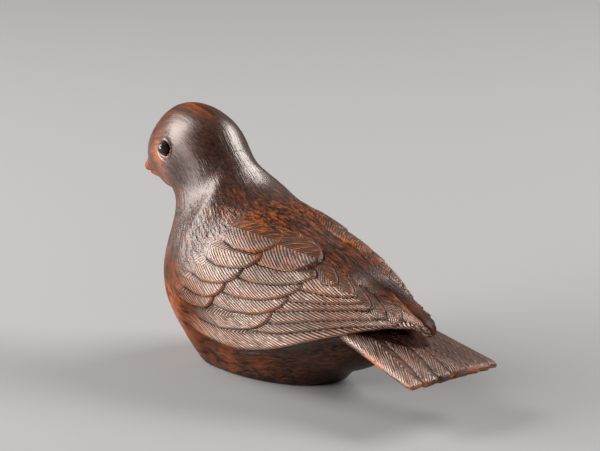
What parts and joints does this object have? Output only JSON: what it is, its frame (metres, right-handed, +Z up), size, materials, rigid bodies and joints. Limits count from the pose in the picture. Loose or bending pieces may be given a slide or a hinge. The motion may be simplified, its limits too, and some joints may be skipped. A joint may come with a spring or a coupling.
{
  "type": "netsuke",
  "caption": "Resting pigeon carved from one block of dark wood as a cord toggle, with folded feathered wings, a fanned tail and inlaid dark eyes.",
  "frame": {"origin": "on the surface that the pigeon stands on, under the middle of its bounding box", "axes": "+Z up, -Y the way the pigeon faces, +X to the pigeon's left"},
  "size_m": [0.0226, 0.0564, 0.03],
  "materials": {
    "wood": "polished dark stain, worn to orange-brown on the edges",
    "horn": "polished black horn"
  },
  "bodies": {
    "root": {"bird": "wood", "left_eye": "horn", "right_eye": "horn"}
  },
  "joints": []
}
